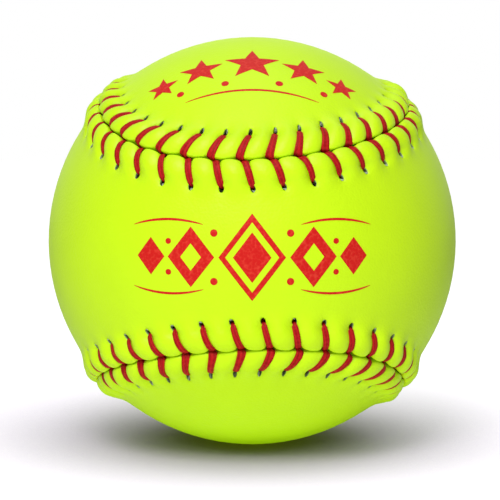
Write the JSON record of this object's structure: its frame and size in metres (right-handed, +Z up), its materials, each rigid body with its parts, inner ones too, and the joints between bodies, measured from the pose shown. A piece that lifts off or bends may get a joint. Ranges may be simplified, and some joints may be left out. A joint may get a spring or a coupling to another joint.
{
  "type": "softball",
  "caption": "Laced leather softball: a moulded core cemented into two waisted panels, whose puckered edges are drawn together by one waxed thread.",
  "frame": {"origin": "centre of the ball", "axes": "+Z up; -Y through the middle of the front panel's waist; +Y through the middle of the back panel's waist; the front panel's lobes lie to +X and -X and the back panel's to +Z and -Z"},
  "size_m": [0.097, 0.097, 0.097],
  "materials": {
    "core": "matt moulded polyurethane foam skin",
    "cement": "dried contact cement",
    "leather": "optic yellow, fine pebble grain, low sheen",
    "thread": "waxed, flattened by the lacing"
  },
  "bodies": {
    "root": {"core": "core", "cement_film": "cement", "panel_front": "leather", "panel_back": "leather", "thread_run_one": "thread", "thread_run_two": "thread"}
  },
  "joints": []
}
